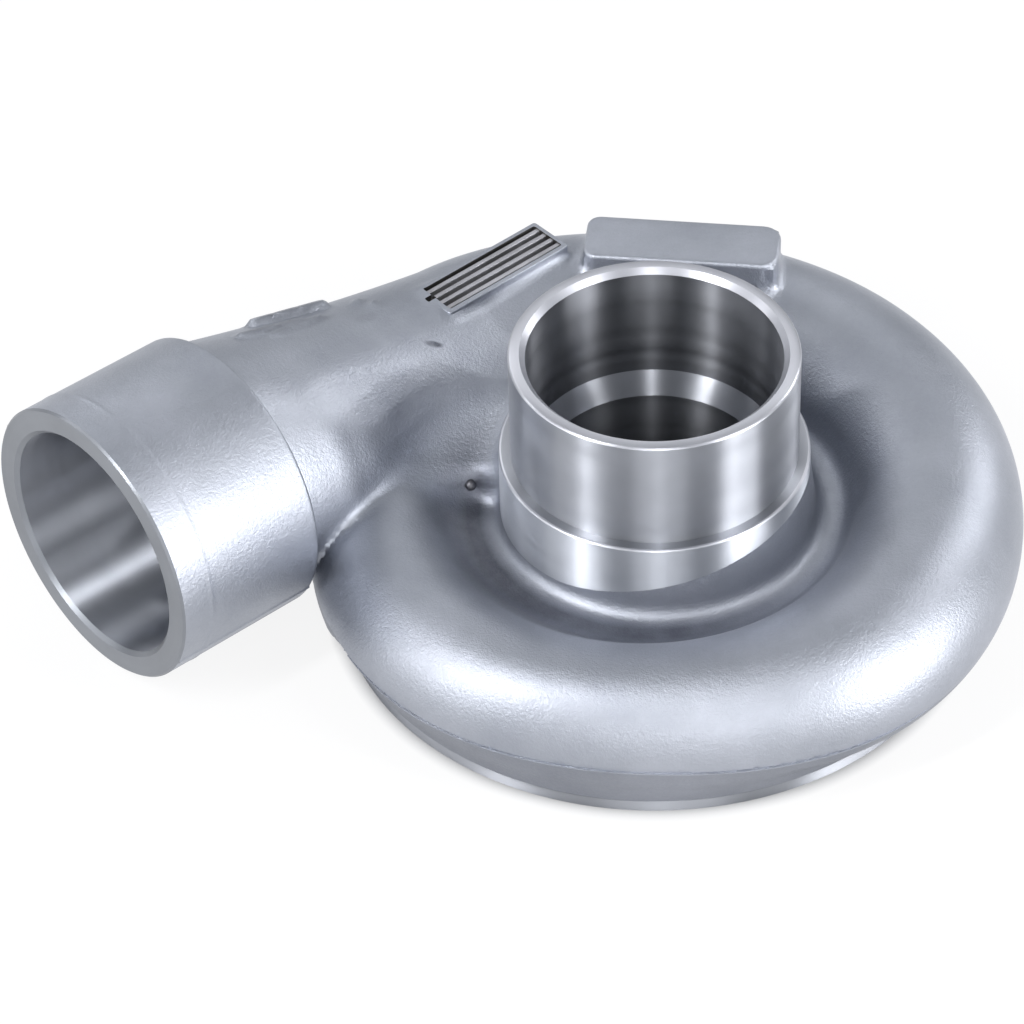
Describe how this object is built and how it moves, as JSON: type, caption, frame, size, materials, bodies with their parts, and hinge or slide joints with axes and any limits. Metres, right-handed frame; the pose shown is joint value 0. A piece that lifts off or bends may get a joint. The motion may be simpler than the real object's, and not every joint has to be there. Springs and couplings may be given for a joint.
{
  "type": "turbo compressor housing",
  "caption": "Cast aluminium scroll housing for a turbo compressor, with a turned round inlet, a side outlet tube and a flat mounting flange.",
  "frame": {"origin": "inlet axis at the mounting flange's bottom face", "axes": "+Z along the inlet axis towards the inlet rim, +X to the right and +Y to the rear as seen in the picture, the outlet leaving towards -X and -Y"},
  "size_m": [0.3641, 0.2535, 0.11],
  "materials": {
    "cast_aluminium": "shot-blasted casting with turned seats"
  },
  "bodies": {
    "root": {"compressor_housing": "cast_aluminium"}
  },
  "joints": []
}
